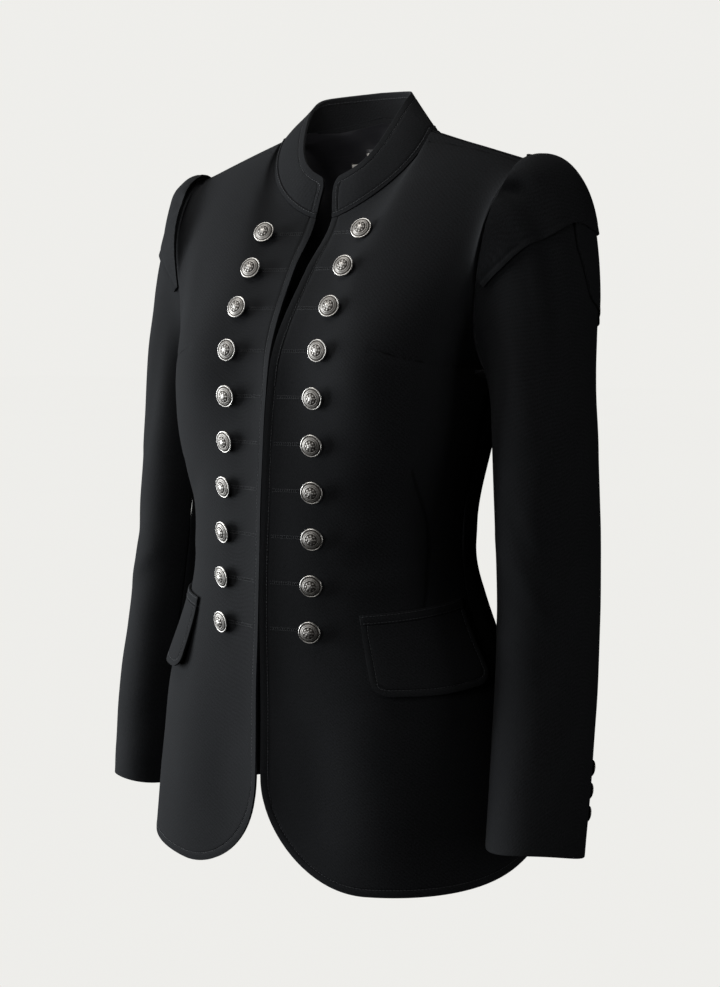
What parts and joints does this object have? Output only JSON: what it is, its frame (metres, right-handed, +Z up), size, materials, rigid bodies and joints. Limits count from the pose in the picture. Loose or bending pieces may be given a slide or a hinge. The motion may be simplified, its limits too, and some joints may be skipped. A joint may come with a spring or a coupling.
{
  "type": "jacket",
  "caption": "Fitted black cloth jacket with a stand collar, open front, domed metal buttons, flap pockets and pleated sleeve heads.",
  "frame": {"origin": "middle of the shoulders, level with the points where the collar meets the shoulder seams", "axes": "+X towards the wearer's left, -Y the front, +Z up"},
  "size_m": [0.5497, 0.2658, 0.7171],
  "materials": {
    "front_left": "matt black wool-blend twill",
    "back_left": "matt black wool-blend twill",
    "sleeve_top_left": "matt black wool-blend twill",
    "sleeve_under_left": "matt black wool-blend twill",
    "sleeve_head_left": "matt black wool-blend twill",
    "sleeve_tuck_left": "matt black wool-blend twill",
    "pocket_welt_left": "matt black wool-blend twill",
    "pocket_flap_left": "matt black wool-blend twill",
    "front_right": "matt black wool-blend twill",
    "back_right": "matt black wool-blend twill",
    "sleeve_top_right": "matt black wool-blend twill",
    "sleeve_under_right": "matt black wool-blend twill",
    "sleeve_head_right": "matt black wool-blend twill",
    "sleeve_tuck_right": "matt black wool-blend twill",
    "pocket_welt_right": "matt black wool-blend twill",
    "pocket_flap_right": "matt black wool-blend twill",
    "collar": "matt black wool-blend twill",
    "back_lining": "dark satin lining with a soft sheen",
    "hanger_loop": "dark satin lining with a soft sheen",
    "neck_label": "pale woven tape, blank",
    "button_left_01": "antique silver plate, darker in the hollows",
    "button_left_02": "antique silver plate, darker in the hollows",
    "button_left_03": "antique silver plate, darker in the hollows",
    "button_left_04": "antique silver plate, darker in the hollows",
    "button_left_05": "antique silver plate, darker in the hollows",
    "button_left_06": "antique silver plate, darker in the hollows",
    "button_left_07": "antique silver plate, darker in the hollows",
    "button_left_08": "antique silver plate, darker in the hollows",
    "button_left_09": "antique silver plate, darker in the hollows",
    "button_left_10": "antique silver plate, darker in the hollows",
    "cuff_button_left_1": "antique silver plate, darker in the hollows",
    "cuff_button_left_2": "antique silver plate, darker in the hollows",
    "cuff_button_left_3": "antique silver plate, darker in the hollows",
    "button_right_01": "antique silver plate, darker in the hollows",
    "button_right_02": "antique silver plate, darker in the hollows",
    "button_right_03": "antique silver plate, darker in the hollows",
    "button_right_04": "antique silver plate, darker in the hollows",
    "button_right_05": "antique silver plate, darker in the hollows",
    "button_right_06": "antique silver plate, darker in the hollows",
    "button_right_07": "antique silver plate, darker in the hollows",
    "button_right_08": "antique silver plate, darker in the hollows",
    "button_right_09": "antique silver plate, darker in the hollows",
    "button_right_10": "antique silver plate, darker in the hollows",
    "cuff_button_right_1": "antique silver plate, darker in the hollows",
    "cuff_button_right_2": "antique silver plate, darker in the hollows",
    "cuff_button_right_3": "antique silver plate, darker in the hollows"
  },
  "bodies": {
    "root": {"front_left": "front_left", "back_left": "back_left", "sleeve_top_left": "sleeve_top_left", "sleeve_under_left": "sleeve_under_left", "sleeve_head_left": "sleeve_head_left", "sleeve_tuck_left": "sleeve_tuck_left", "pocket_welt_left": "pocket_welt_left", "pocket_flap_left": "pocket_flap_left", "front_right": "front_right", "back_right": "back_right", "sleeve_top_right": "sleeve_top_right", "sleeve_under_right": "sleeve_under_right", "sleeve_head_right": "sleeve_head_right", "sleeve_tuck_right": "sleeve_tuck_right", "pocket_welt_right": "pocket_welt_right", "pocket_flap_right": "pocket_flap_right", "collar": "collar", "back_lining": "back_lining", "hanger_loop": "hanger_loop", "neck_label": "neck_label", "button_left_01": "button_left_01", "button_left_02": "button_left_02", "button_left_03": "button_left_03", "button_left_04": "button_left_04", "button_left_05": "button_left_05", "button_left_06": "button_left_06", "button_left_07": "button_left_07", "button_left_08": "button_left_08", "button_left_09": "button_left_09", "button_left_10": "button_left_10", "cuff_button_left_1": "cuff_button_left_1", "cuff_button_left_2": "cuff_button_left_2", "cuff_button_left_3": "cuff_button_left_3", "button_right_01": "button_right_01", "button_right_02": "button_right_02", "button_right_03": "button_right_03", "button_right_04": "button_right_04", "button_right_05": "button_right_05", "button_right_06": "button_right_06", "button_right_07": "button_right_07", "button_right_08": "button_right_08", "button_right_09": "button_right_09", "button_right_10": "button_right_10", "cuff_button_right_1": "cuff_button_right_1", "cuff_button_right_2": "cuff_button_right_2", "cuff_button_right_3": "cuff_button_right_3"}
  },
  "joints": []
}
